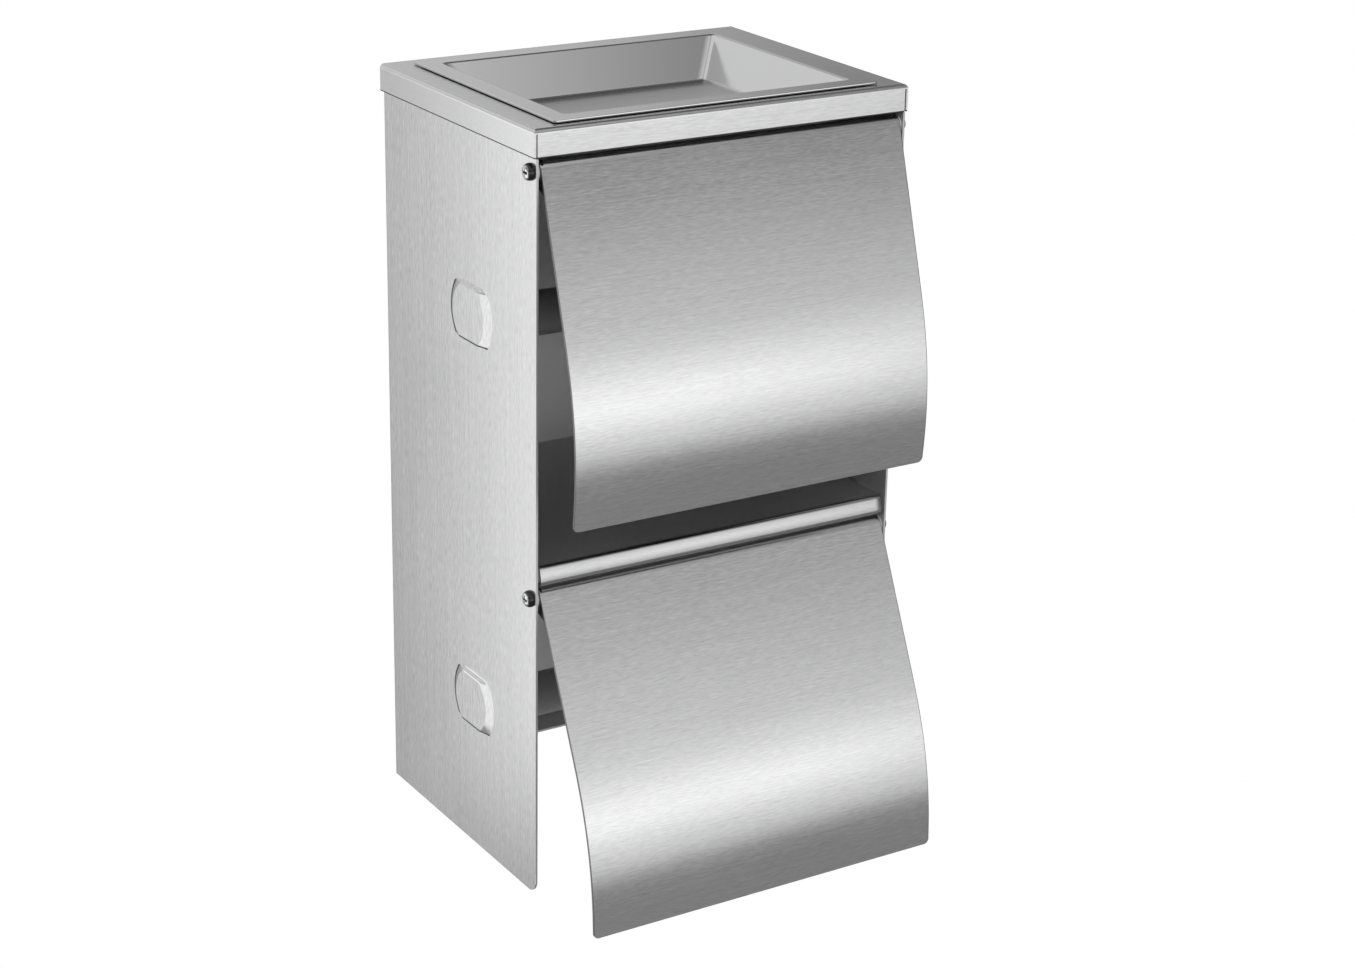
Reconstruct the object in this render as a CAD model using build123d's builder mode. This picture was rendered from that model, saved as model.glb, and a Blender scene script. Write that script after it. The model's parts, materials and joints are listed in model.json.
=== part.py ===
from build123d import *
import os
from math import atan2, cos, degrees, radians, sin

os.makedirs("parts", exist_ok=True)

# Double toilet roll holder: a folded steel cabinet for the wall, with two hinged flaps,
# a sprung spindle in each bay and a lift-out ashtray in its top. Millimetres, +Z up.
# The origin is the middle of the four wall screws, in the wall plane, and the front looks to -Y.

# Cabinet
width = 148.0  # over the side panels
depth = 113.0  # wall face to the front edges of the side panels
height = 280.0  # lower edge of the side panels to the top of the cover
sheet = 0.8  # steel sheet, the same for every folded piece
fold = 0.8  # inside radius of a fold
panel_corner = 5.0  # radius of a side panel's lower front corner
mount_rise = 160.0  # middle of the wall screws above the lower edge
wall_hole_across = 100.0
wall_hole_up = 130.0
wall_hole = 5.0  # diameter of a wall screw's hole
foot_rise = 9.0  # underside of the stiffening foot along the back's lower edge
foot_depth = 13.0  # how far that foot comes forward from the wall

# Cover and ashtray
skirt = 9.7  # height of the cover's turned-down edges
cover_fit = 0.1  # gap between a skirt and the side panel that it overlaps
seam = 0.5  # open seam at the cover's front corners
notch_play = 0.25  # room round the front skirt in the side panels' notches
tray_width = 130.0  # over the flange
tray_depth = 103.0
tray_corner = 1.5  # radius of the flange's corners
bowl_width = 114.0  # mouth of the bowl
bowl_depth = 88.0
bowl_drop = 14.6  # flange top to bowl floor
bowl_inset = 10.0  # how far each wall leans in on its way down
bowl_edge = 1.2  # inside radius where the bowl's walls meet each other and the floor
tray_forward = 1.0  # how far the tray sits in front of the cover's middle
tray_seat = 0.3  # flange underside above the cover
tray_play = 0.8  # room round the bowl in the cover's opening

# Divider shelf with its bent front lip
shelf_rise = 126.1  # top of the shelf above the lower edge of the side panels
shelf_fit = 0.1  # gap to the panels that its flanges are welded to
shelf_flange = 10.0  # height of its turned-down side flanges
shelf_flange_setback = 18.0  # from the front edges of the side panels to the flanges
lip_bend = 1.8  # outside radius of the bend from the shelf into the lip
lip_lean = 15.0  # degrees that the top of the lip's face leans back
lip_crown = 40.0  # radius of that slightly round face
lip_low_lean = 9.0  # degrees that the bottom of the face leans back
lip_curl = 1.6  # outside radius of the curl under the face
lip_turn = 150.0  # degrees that the curl goes round
lip_play = 1.2  # from each end of the lip to the side panel

# Flaps, drawn hanging straight down from their hinge
hinge_setback = 4.2  # hinge axis behind the front edges of the side panels
hinge_drop = 5.2  # hinge axis below the skirt or the lip above it
flap_offset = 4.1  # outer face in front of the hinge axis
flap_straight = 62.0  # flat stretch below the hinge axis
flap_radius = 140.0  # outside radius of the curved stretch
flap_turn = 22.0  # degrees that the curve turns back towards the wall
flap_tail = 7.0  # flat stretch below the curve
flap_play = 1.0  # gap to the side panels
flap_corner = 2.0  # radius of the lower corners
flap_top = 2.8  # top of the flap above the hinge axis
flap_roll = 1.6  # outside radius of the fold along the top
flap_return = 2.2  # flat stretch of the turned-back top
tab_slit = 0.5  # from an end of the turned-back top to the upright tab beside it
ear_radius = 3.9  # round end of a hinge ear
ear_length = 9.0  # how far an ear runs down the flap's edge from the hinge axis
ear_relief = 3.0  # from an ear's inner nut to the end of the turned-back top
upper_opening = 17.0  # degrees that the upper flap stands open at rest
lower_opening = 25.0

# Pivot screws, with a plastic washer outside each ear and a lock nut inside it
screw_diameter = 3.0
screw_length = 8.0
head_diameter = 6.0
head_height = 2.4
head_crown = 1.4  # rounding of the pan head
recess_length = 3.2
recess_width = 0.7
recess_depth = 1.2
panel_hole = 3.2
ear_hole = 3.1
washer_diameter = 7.0
washer_play = 0.05  # gap on each face of a washer
nut_across_flats = 5.5
nut_height = 2.4  # of the hexagon
collar_diameter = 5.0  # round end of the nut, over its plastic ring
collar_height = 1.6
collar_round = 0.4
nut_fit = 0.02  # radial gap on the screw
nut_gap = 0.05  # gap between a nut and the ear

# Spindles and the pressed-out pockets that hold their ends
pocket_setback = 67.0  # middle of the pockets in front of the wall
upper_pocket_rise = 205.0
lower_pocket_rise = 58.0
pocket_radius = 15.0  # where the pocket leaves the panel
pocket_floor_radius = 11.5
pocket_height = 19.2  # between its two sheared shoulders
pocket_press = 1.5  # how far it is pressed out of the panel
shear = 0.3  # open slit along each shoulder
nose_radius = 6.5  # round ends of a spindle
nose_gap = 0.15  # under a nose, at the lower shoulder
nose_end_gap = 0.3  # from a nose to the pocket's floor
nose_clear = 2.0  # from the side panel to the spindle's full diameter
nose_round = 0.6  # bevel round the end of a nose
sleeve_radius = 8.0
sleeve_bore = 7.2  # radius inside the sleeve
sleeve_reach = 15.0  # open end of the sleeve past the middle of the cabinet
sleeve_end_wall = 2.0
mouth_length = 1.5  # inner rim that keeps the plunger in
slide_fit = 0.08  # radial gap between plunger and sleeve
plunger_spare = 3.0  # travel left before the plunger's collar meets that rim
plunger_collar = 4.0
plunger_core = 3.6  # radius of the hollow beyond the spring
plunger_nose_wall = 2.5
spring_pocket = 14.0  # depth of the spring's seat in the plunger
spring_radius = 4.3  # to the middle of the wire
spring_wire = 1.0
spring_turns = 9
spring_fit = 0.4  # radial room round the spring in its seat
spring_gap = 0.1  # from each end of the spring to its seat
spigot_length = 4.0  # stub on the sleeve's end wall that centres the spring


def draw_lip(start=(0, 0)):
    """The middle of the lip's sheet from the shelf's front: a bend, a slightly round face and a curl."""
    with BuildLine() as lip:
        bend = JernArc(start, (-1, 0), lip_bend - sheet / 2, 90 - lip_lean)
        face = JernArc(bend @ 1, bend % 1, lip_crown - sheet / 2, lip_lean - lip_low_lean)
        JernArc(face @ 1, face % 1, lip_curl - sheet / 2, lip_turn)
    return lip.line


# Planes and lines that several pieces share
bottom = -mount_rise
top = bottom + height
front = -depth
half_width = width / 2
panel_inside = half_width - sheet
skirt_low = top - skirt
cover_half = half_width + cover_fit + sheet
tray_top = top + tray_seat + sheet
tray_middle = front / 2 - tray_forward
bowl_slope = degrees(atan2(bowl_inset, bowl_drop))
bowl_wall = sheet / cos(radians(bowl_slope))
shelf_top = bottom + shelf_rise
lip_room = draw_lip().bounding_box()
lip_low = shelf_top - sheet + lip_room.min.Y
lip_start = front + sheet / 2 - lip_room.min.X
hinge_y = front + hinge_setback
upper_hinge = skirt_low - hinge_drop
lower_hinge = lip_low - hinge_drop
flap_half = panel_inside - flap_play
nut_face = flap_half - sheet - nut_gap
spindle_drop = pocket_height / 2 + shear - nose_radius - nose_gap
sides = {"left": -1, "right": 1}
hinges = {"upper": upper_hinge, "lower": lower_hinge}
pocket_rises = {"upper": upper_pocket_rise, "lower": lower_pocket_rise}


def save(part, name):
    part.label = name
    export_step(part, f"parts/{name}.step")


def pocket_outline(radius, tall):
    """A disc cut off straight above and below."""
    Circle(radius)
    Rectangle(2 * radius, tall, mode=Mode.INTERSECT)


# A pocket for a spindle end: sheet pressed out between two sheared shoulders, ramped at both ends
with BuildPart() as pocket:
    with BuildSketch():
        pocket_outline(pocket_radius, pocket_height)
    extrude(amount=sheet)
    with BuildSketch(Plane.XY.offset(sheet)):
        pocket_outline(pocket_radius, pocket_height)
    with BuildSketch(Plane.XY.offset(sheet + pocket_press)):
        pocket_outline(pocket_floor_radius, pocket_height)
    loft()
    with BuildSketch():
        pocket_outline(pocket_radius, pocket_height)
    with BuildSketch(Plane.XY.offset(pocket_press)):
        pocket_outline(pocket_floor_radius, pocket_height)
    loft(mode=Mode.SUBTRACT)

# Each pocket's plane lies on the inner face of its side panel and looks outwards
pocket_planes = [
    Plane((side * panel_inside, -pocket_setback, bottom + rise), x_dir=(0, 1, 0), z_dir=(side, 0, 0))
    for rise in pocket_rises.values()
    for side in sides.values()
]

# Back and sides in one sheet, folded round the rear corners
with BuildPart() as body_shell:
    sheet_middle = half_width - sheet / 2
    with BuildSketch(Plane.XY.offset(bottom)):
        with BuildLine():
            FilletPolyline(
                (-sheet_middle, front),
                (-sheet_middle, -sheet / 2),
                (sheet_middle, -sheet / 2),
                (sheet_middle, front),
                radius=fold + sheet / 2,
            )
        trace(line_width=sheet)
    extrude(amount=height - sheet - fold)
    # The back stops short of the lower edge and turns forward into a stiffening foot
    foot_half = panel_inside - 2 * fold
    with BuildSketch(Plane.XZ):
        with Locations((0, bottom)):
            Rectangle(2 * foot_half, 2 * (foot_rise + fold + sheet))
    extrude(amount=2 * sheet, both=True, mode=Mode.SUBTRACT)
    with BuildSketch(Plane.YZ):
        foot_middle = bottom + foot_rise + sheet / 2
        with BuildLine():
            FilletPolyline(
                (-sheet / 2, foot_middle + fold + 2 * sheet),
                (-sheet / 2, foot_middle),
                (-foot_depth, foot_middle),
                radius=fold + sheet / 2,
            )
        trace(line_width=sheet)
    extrude(amount=foot_half, both=True)
    # Notches for the cover's front skirt, round lower corners, holes for the wall and the pivots
    with BuildSketch(Plane.YZ):
        notch_depth = sheet + notch_play
        with Locations((front, top)):
            Rectangle(2 * notch_depth, 2 * (skirt + notch_play))
    extrude(amount=width, both=True, mode=Mode.SUBTRACT)
    fillet(body_shell.edges().filter_by(Axis.X).group_by(Axis.Z)[0].group_by(Axis.Y)[0], panel_corner)
    with BuildSketch(Plane.XZ):
        with GridLocations(wall_hole_across, wall_hole_up, 2, 2):
            Circle(wall_hole / 2)
    extrude(amount=2 * sheet, both=True, mode=Mode.SUBTRACT)
    with BuildSketch(Plane.YZ):
        with Locations((hinge_y, upper_hinge), (hinge_y, lower_hinge)):
            Circle(panel_hole / 2)
    extrude(amount=width, both=True, mode=Mode.SUBTRACT)
    # The four pockets, each in its own opening with a slit along both shoulders
    with BuildSketch(*pocket_planes):
        pocket_outline(pocket_radius, pocket_height + 2 * shear)
    extrude(amount=sheet, mode=Mode.SUBTRACT)
    with Locations(*pocket_planes):
        add(pocket.part)
save(body_shell.part, "body_shell")

# Cover: a shallow lid, open at the back, with its front corners left as open seams
with BuildPart() as top_cover:
    with BuildSketch(Plane.XY.offset(skirt_low)):
        with Locations((0, front / 2)):
            Rectangle(2 * cover_half, depth)
    extrude(amount=skirt)
    rear_edge = top_cover.faces().sort_by(Axis.Z)[-1].edges().sort_by(Axis.Y)[-1]
    rims = top_cover.faces().sort_by(Axis.Z)[-1].edges().filter_by(lambda edge: edge != rear_edge)
    fillet(rims, fold + sheet)
    open_faces = [top_cover.faces().sort_by(Axis.Z)[0], top_cover.faces().sort_by(Axis.Y)[-1]]
    offset(amount=-sheet, openings=open_faces)
    with BuildSketch(Plane.XZ.offset(-front)):
        seam_height = 2 * (skirt - sheet - fold)
        with Locations(*[(side * (cover_half - sheet - seam / 2), skirt_low) for side in sides.values()]):
            Rectangle(seam, seam_height)
    extrude(amount=2 * sheet, both=True, mode=Mode.SUBTRACT)
    with BuildSketch(Plane.XY.offset(top)):
        rim_room = bowl_wall - (tray_top - top) * bowl_inset / bowl_drop + tray_play
        with Locations((0, tray_middle)):
            Rectangle(bowl_width + 2 * rim_room, bowl_depth + 2 * rim_room)
    extrude(amount=2 * sheet, both=True, mode=Mode.SUBTRACT)
save(top_cover.part, "top_cover")

# Ashtray: a flange that lies on the cover and a bowl with leaning walls
with BuildPart() as ashtray:
    with BuildSketch(Plane.XY.offset(tray_top)):
        with Locations((0, tray_middle)):
            RectangleRounded(tray_width, tray_depth, tray_corner)
    extrude(amount=-sheet)
    with BuildSketch(Plane.XY.offset(tray_top)):
        with Locations((0, tray_middle)):
            Rectangle(bowl_width + 2 * bowl_wall, bowl_depth + 2 * bowl_wall)
    extrude(amount=-(bowl_drop + sheet), taper=bowl_slope)
    with BuildSketch(Plane.XY.offset(tray_top)):
        with Locations((0, tray_middle)):
            Rectangle(bowl_width, bowl_depth)
    extrude(amount=-bowl_drop, taper=bowl_slope, mode=Mode.SUBTRACT)
    bowl_floor = ashtray.faces().filter_by(Axis.Z).sort_by(Axis.Z)[1]
    fillet(bowl_floor.edges(), bowl_edge)
save(ashtray.part, "ashtray")

# Shelf between the bays: a tray turned upside down, with a bent lip along its front
with BuildPart() as divider_shelf:
    shelf_middle = shelf_top - sheet / 2
    flange_middle = panel_inside - shelf_fit - sheet / 2
    shelf_back = sheet + fold + shelf_fit
    with BuildSketch(Plane.XZ.offset(shelf_back)):
        with BuildLine():
            FilletPolyline(
                (-flange_middle, shelf_top - shelf_flange),
                (-flange_middle, shelf_middle),
                (flange_middle, shelf_middle),
                (flange_middle, shelf_top - shelf_flange),
                radius=fold + sheet / 2,
            )
        trace(line_width=sheet)
    extrude(amount=depth - shelf_back - shelf_flange_setback)
    with BuildSketch(Plane.YZ):
        with BuildLine():
            Line((front + shelf_flange_setback + sheet, shelf_middle), (lip_start, shelf_middle))
            add(draw_lip((lip_start, shelf_middle)))
        trace(line_width=sheet)
    extrude(amount=panel_inside - lip_play, both=True)
save(divider_shelf.part, "divider_shelf")


def make_flap(hinge_z, opening):
    """A curved sheet on two ears, its top turned back between two tabs; x forward, y up the flap."""
    swing = radians(opening)
    hinge_plane = Plane((0, hinge_y, hinge_z), x_dir=(0, -cos(swing), sin(swing)), z_dir=(-1, 0, 0))
    face = flap_offset - sheet / 2
    curve = flap_radius - sheet / 2
    curve_centre = (face - curve, -flap_straight)
    turn = radians(flap_turn)
    curve_end = (curve_centre[0] + curve * cos(turn), curve_centre[1] - curve * sin(turn))
    tail_end = (curve_end[0] - flap_tail * sin(turn), curve_end[1] - flap_tail * cos(turn))
    roll = flap_roll - sheet / 2
    roll_centre = (face - roll, flap_top - flap_roll)
    return_end = (roll_centre[0] - flap_return, flap_top - sheet / 2)
    return_half = nut_face - nut_height - collar_height - ear_relief
    with BuildPart() as flap:
        with BuildSketch(hinge_plane):
            with BuildLine():
                Line(tail_end, curve_end)
                CenterArc(curve_centre, curve, 0, -flap_turn)
                Line((face, -flap_straight), (face, flap_top))
            trace(line_width=sheet)
        extrude(amount=flap_half, both=True)
        tail_face = flap.faces().sort_by(Axis((0, hinge_y, hinge_z), hinge_plane.y_dir))[0]
        fillet(tail_face.edges().filter_by(lambda edge: edge.length < 2 * sheet), flap_corner)
        with BuildSketch(hinge_plane):
            with Locations((face, flap_top)):
                Rectangle(2 * sheet, 2 * flap_roll)
        extrude(amount=return_half + tab_slit, both=True, mode=Mode.SUBTRACT)
        with BuildSketch(hinge_plane):
            with BuildLine():
                CenterArc(roll_centre, roll, 0, 90)
                Line((roll_centre[0], return_end[1]), return_end)
            trace(line_width=sheet)
        extrude(amount=return_half, both=True)
        for side in sides.values():
            with BuildSketch(hinge_plane.offset(side * (flap_half - sheet / 2))):
                with BuildLine():
                    CenterArc((0, 0), ear_radius, 0, 360)
                    Line((face, -ear_length), (face, flap_top))
                make_hull()
                Circle(ear_hole / 2, mode=Mode.SUBTRACT)
            extrude(amount=sheet / 2, both=True)
    return flap.part


for bay, opening in (("upper", upper_opening), ("lower", lower_opening)):
    save(make_flap(hinges[bay], opening), f"{bay}_flap")


def make_screw(outside):
    """Pan head on the panel's outer face, shank inwards, cross recess in the head."""
    with BuildPart() as screw:
        with BuildSketch(outside):
            Circle(head_diameter / 2)
        extrude(amount=head_height)
        fillet(screw.faces().sort_by(Axis(outside.origin, outside.z_dir))[-1].edges(), head_crown)
        with BuildSketch(outside):
            Circle(screw_diameter / 2)
        extrude(amount=-screw_length)
        with BuildSketch(outside.offset(head_height)):
            Rectangle(recess_length, recess_width)
            Rectangle(recess_width, recess_length)
        extrude(amount=-recess_depth, mode=Mode.SUBTRACT)
    return screw.part


def make_washer(inside):
    """Flat plastic ring between the side panel and the flap's ear."""
    with BuildPart() as washer:
        with BuildSketch(inside.offset(washer_play)):
            Circle(washer_diameter / 2)
            Circle(panel_hole / 2, mode=Mode.SUBTRACT)
        extrude(amount=flap_play - 2 * washer_play)
    return washer.part


def make_nut(behind_ear):
    """Lock nut: a hexagon with a round collar over its plastic ring."""
    with BuildPart() as nut:
        with BuildSketch(behind_ear):
            RegularPolygon(nut_across_flats / 2, 6, major_radius=False)
        extrude(amount=nut_height)
        with BuildSketch(behind_ear.offset(nut_height)):
            Circle(collar_diameter / 2)
        extrude(amount=collar_height)
        nut_end = nut.faces().sort_by(Axis(behind_ear.origin, behind_ear.z_dir))[-1]
        fillet(nut_end.edges(), collar_round)
        with BuildSketch(behind_ear):
            Circle(screw_diameter / 2 + nut_fit)
        extrude(amount=nut_height + collar_height, mode=Mode.SUBTRACT)
    return nut.part


for bay, hinge_z in hinges.items():
    for hand, side in sides.items():
        outside = Plane((side * half_width, hinge_y, hinge_z), z_dir=(side, 0, 0))
        inside = Plane((side * panel_inside, hinge_y, hinge_z), z_dir=(-side, 0, 0))
        behind_ear = Plane((side * nut_face, hinge_y, hinge_z), z_dir=(-side, 0, 0))
        save(make_screw(outside), f"{bay}_{hand}_pivot_screw")
        save(make_washer(inside), f"{bay}_{hand}_washer")
        save(make_nut(behind_ear), f"{bay}_{hand}_lock_nut")

# Places along a spindle, from the middle of the cabinet
nose_end = panel_inside + pocket_press - nose_end_gap
sleeve_shoulder = -(panel_inside - nose_clear)
sleeve_floor = sleeve_shoulder + sleeve_end_wall
collar_end = sleeve_reach - mouth_length - plunger_spare
plunger_start = collar_end - plunger_collar
spring_seat = plunger_start + spring_pocket
spring_room = spring_radius + spring_wire / 2 + spring_fit
spring_start = sleeve_floor + spring_gap + spring_wire / 2
spring_length = spring_seat - spring_gap - spring_wire / 2 - spring_start
spigot_radius = spring_radius - spring_wire / 2 - spring_fit


def turned(plane, outline):
    """A turned piece: its half section, x along the spindle and y from the axis, spun right round."""
    with BuildPart() as piece:
        with BuildSketch(plane):
            with BuildLine():
                Polyline(*outline, close=True)
            make_face()
        revolve(axis=Axis(plane.origin, plane.x_dir))
    return piece.part


def make_sleeve(plane):
    """Long outer tube: closed end with a nose for the left pocket, rimmed mouth for the plunger."""
    mouth_radius = nose_radius + slide_fit
    outline = [
        (-nose_end, 0),
        (-nose_end, nose_radius - nose_round),
        (-nose_end + nose_round, nose_radius),
        (sleeve_shoulder, nose_radius),
        (sleeve_shoulder, sleeve_radius),
        (sleeve_reach, sleeve_radius),
        (sleeve_reach, mouth_radius),
        (sleeve_reach - mouth_length, mouth_radius),
        (sleeve_reach - mouth_length, sleeve_bore),
        (sleeve_floor, sleeve_bore),
        (sleeve_floor, spigot_radius),
        (sleeve_floor + spigot_length, spigot_radius),
        (sleeve_floor + spigot_length, 0),
    ]
    return turned(plane, outline)


def make_plunger(plane):
    """Inner tube: collar that the sleeve's rim keeps in, spring seat, nose for the right pocket."""
    outline = [
        (plunger_start, spring_room),
        (plunger_start, sleeve_bore - slide_fit),
        (collar_end, sleeve_bore - slide_fit),
        (collar_end, nose_radius),
        (nose_end - nose_round, nose_radius),
        (nose_end, nose_radius - nose_round),
        (nose_end, 0),
        (nose_end - plunger_nose_wall, 0),
        (nose_end - plunger_nose_wall, plunger_core),
        (spring_seat, plunger_core),
        (spring_seat, spring_room),
    ]
    return turned(plane, outline)


def make_spring(plane):
    """Open coil between the sleeve's end wall and the plunger's seat."""
    coil_start = plane.origin + plane.x_dir * spring_start
    with BuildPart() as spring:
        with BuildLine() as coil:
            Helix(spring_length / spring_turns, spring_length, spring_radius, coil_start, plane.x_dir)
        with BuildSketch(Plane(coil.line @ 0, z_dir=coil.line % 0)):
            Circle(spring_wire / 2)
        sweep(is_frenet=True)
    return spring.part


for bay, rise in pocket_rises.items():
    spindle_plane = Plane(
        (0, -pocket_setback, bottom + rise - spindle_drop), x_dir=(1, 0, 0), z_dir=(0, -1, 0)
    )
    save(make_sleeve(spindle_plane), f"{bay}_spindle_sleeve")
    save(make_plunger(spindle_plane), f"{bay}_spindle_plunger")
    save(make_spring(spindle_plane), f"{bay}_spindle_spring")
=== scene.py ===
# %% [markdown]
# # Dressing a twin toilet roll holder
#
# The real thing is a cabinet of folded stainless sheet for the wall: two bays one above the other, a curved
# flap over each and an ashtray let into the top. The CAD model already has the right sizes and joints, so
# this lesson loads it as a fixed frame and only adds what a picture needs: a camera, studio light, metal that
# looks brushed, and smoother sheets where a CAD mesh is too plain.

# %% Load the frame
import json

import bpy
import numpy as np
from mathutils import Matrix, Vector


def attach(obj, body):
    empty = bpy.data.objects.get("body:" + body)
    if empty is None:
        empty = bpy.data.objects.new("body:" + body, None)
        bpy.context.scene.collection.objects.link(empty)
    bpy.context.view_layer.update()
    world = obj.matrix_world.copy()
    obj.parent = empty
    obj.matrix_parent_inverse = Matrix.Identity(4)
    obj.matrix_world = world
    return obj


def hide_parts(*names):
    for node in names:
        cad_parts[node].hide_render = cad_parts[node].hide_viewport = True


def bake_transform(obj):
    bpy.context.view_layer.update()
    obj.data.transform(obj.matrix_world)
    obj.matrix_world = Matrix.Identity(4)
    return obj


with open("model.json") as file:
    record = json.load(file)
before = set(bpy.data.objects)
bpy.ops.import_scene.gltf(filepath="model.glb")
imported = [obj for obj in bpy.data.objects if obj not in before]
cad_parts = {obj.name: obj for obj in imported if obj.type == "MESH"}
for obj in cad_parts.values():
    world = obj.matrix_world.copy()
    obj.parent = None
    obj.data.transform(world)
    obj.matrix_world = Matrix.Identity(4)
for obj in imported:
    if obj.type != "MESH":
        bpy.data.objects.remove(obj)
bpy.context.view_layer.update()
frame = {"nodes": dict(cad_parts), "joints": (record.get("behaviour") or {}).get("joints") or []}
nodes = frame["nodes"]
MM = 0.001

# %% [markdown]
# ## The camera
#
# The picture to match looks down on the left front corner from about a metre away. The place, the angles and
# the lens below came from fitting a pinhole camera to the corners of the cabinet. Building the camera's
# matrix from its own right, up and back directions keeps the small roll, which a plain aim at a target would
# lose.

# %% Camera
IMAGE_WIDTH = 1355
SENSOR = 36.0
FOCAL_PIXELS = 2817.3
CAMERA_PLACE = np.array([-509.1, -895.7, 334.7]) * MM
AZIMUTH, ELEVATION, ROLL = np.radians([-32.14, 20.61, 1.16])

back = np.array([np.sin(AZIMUTH) * np.cos(ELEVATION), -np.cos(AZIMUTH) * np.cos(ELEVATION), np.sin(ELEVATION)])
level = np.array([np.cos(AZIMUTH), np.sin(AZIMUTH), 0.0])
upright = np.cross(back, level)
right = level * np.cos(ROLL) + upright * np.sin(ROLL)
up = upright * np.cos(ROLL) - level * np.sin(ROLL)

camera_data = bpy.data.cameras.new("camera")
camera_data.sensor_width = SENSOR
camera_data.lens = FOCAL_PIXELS * SENSOR / IMAGE_WIDTH
camera = bpy.data.objects.new("camera", camera_data)
bpy.context.collection.objects.link(camera)
camera.matrix_world = Matrix.Translation(CAMERA_PLACE) @ Matrix(np.column_stack([right, up, back])).to_4x4()
bpy.context.scene.camera = camera
bpy.context.scene.view_settings.view_transform = "Standard"
print("lens", round(camera_data.lens, 1), "mm")

# %% [markdown]
# ## Shader maths as plain expressions
#
# A material is a graph of nodes, and placing them one by one hides the idea. So one small class wraps an
# output socket: adding or multiplying two of them adds a Math node, and `1 - mask` works because the
# reflected operators are there too. Every other kind of node comes from the method `node`.

# %% A socket that can be calculated with
class Wire:
    """An output socket of a node tree, used in expressions as if it were a number."""

    def __init__(self, tree, socket=None):
        self.tree, self.socket = tree, socket

    def node(self, kind, settings=None, sockets=None, out=0):
        """Adds a node: its settings first, then the values or links of its sockets. Gives one output."""
        made = self.tree.nodes.new("ShaderNode" + kind)
        for name, value in (settings or {}).items():
            if name == "stops":
                self.set_stops(made.color_ramp, value)
            else:
                setattr(made, name, value)
        for name, value in (sockets or {}).items():
            if isinstance(value, Wire):
                self.tree.links.new(value.socket, made.inputs[name])
            else:
                made.inputs[name].default_value = value
        return Wire(self.tree, made.outputs[out] if len(made.outputs) else None)

    def set_stops(self, ramp, stops):
        """Grey stops of a ramp: pairs of place and brightness."""
        ramp.elements[1].position = stops[-1][0]
        ramp.elements[0].position = stops[0][0]
        for place, _ in stops[1:-1]:
            ramp.elements.new(place)
        for element, (place, shade) in zip(ramp.elements, stops):
            element.color = (shade, shade, shade, 1.0)

    def maths(self, operation, first, second=0.0):
        return self.node("Math", {"operation": operation}, {0: first, 1: second})

    def __add__(self, other):
        return self.maths("ADD", self, other)

    def __sub__(self, other):
        return self.maths("SUBTRACT", self, other)

    def __rsub__(self, other):
        return self.maths("SUBTRACT", other, self)

    def __mul__(self, other):
        return self.maths("MULTIPLY", self, other)

    __radd__, __rmul__ = __add__, __mul__

    def smooth(self, low, high):
        """0 up to low and 1 from high, with a soft step between them; falling where high is below low."""
        return self.node("MapRange", {"interpolation_type": "SMOOTHSTEP"}, {0: self, 1: low, 2: high})

    def spread(self, low, high, first, last):
        """The first number up to low and the last one from high, with a straight line between them."""
        return self.node("MapRange", {}, {0: self, 1: low, 2: high, 3: first, 4: last})

    def ramp(self, stops):
        """The brightness that a grey ramp has at this value; a ramp reads values from 0 to 1."""
        return self.node("ValToRGB", {"stops": stops}, {0: self})

    def size(self):
        return self.maths("ABSOLUTE", self)

    def mixed(self, first, second):
        """A colour that goes from the first to the second as this value goes from 0 to 1."""
        return self.node("Mix", {"data_type": "RGBA"}, {0: self, 6: first, 7: second}, out=2)


def grey(value, tint=0.0):
    """A colour of this brightness, a little towards blue where tint is above 0."""
    return (value * (1 - tint), value, value * (1 + tint), 1.0)


# %% [markdown]
# ## Studio light
#
# Brushed steel has no look of its own: it shows what stands round it, blurred. The bright band low on each
# flap is one big soft box in front, brightest in its middle, so here it is three lamps of different sizes,
# two centimetres apart because lamps in the same plane hide one another. A box on the left brightens the side
# panel towards its front edge, and two more, on the right and at the left front, do as much for the sides
# that this camera doesn't see. The world fills in the rest: pale behind, darker in front and almost black
# overhead, which draws the dark line along the cover's front bend. A small black card low behind gives the
# thin dark lines along turned edges, as photographers do with metal. Only the camera sees the backdrop as
# white.

# %% World
SIDEWAYS = [(0.1, 0.35), (0.22, 0.9), (0.30, 1.0), (0.45, 0.85),
            (0.70, 0.78), (0.745, 0.66), (0.79, 0.3), (0.9, 0.25)]
RISING = [(0.27, 0.42), (0.40, 0.64), (0.65, 1.0)]
AHEAD = [(0.2, 0.13), (0.45, 0.18), (0.6, 0.13), (0.64, 0.13),
         (0.67, 0.48), (0.72, 0.48), (0.8, 0.62), (0.88, 0.7)]
CARD_WAY, CARD_SHADE = (0.50, 0.79, -0.35), 0.03
WHITE = 1.0

world = bpy.data.worlds.new("studio")
bpy.context.scene.world = world
world.use_nodes = True
world.node_tree.nodes.clear()
sky = Wire(world.node_tree)
direction = sky.node("TexCoord", out=0)
across, inward, upward = [sky.node("SeparateXYZ", {}, {0: direction}, out=axis) for axis in range(3)]
behind = (across * 0.5 + 0.5).ramp(SIDEWAYS) * (upward * 0.5 + 0.5).ramp(RISING)
high_front = upward.smooth(0.4, 0.6)
fading = across.spread(0.44, 0.54, 1.35, 0.4)
ahead = (upward * 0.5 + 0.5).ramp(AHEAD) * (1 - high_front + high_front * fading)
around = inward.smooth(-0.2, 0.5).mixed(ahead, behind)
overhead = (upward + inward * 0.3).smooth(0.72, 0.86)
top_light = across.spread(-0.3, 0.35, 1.0, 0.16)
on_card = (across * CARD_WAY[0] + inward * CARD_WAY[1] + upward * CARD_WAY[2]).smooth(0.95, 0.985)
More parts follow.
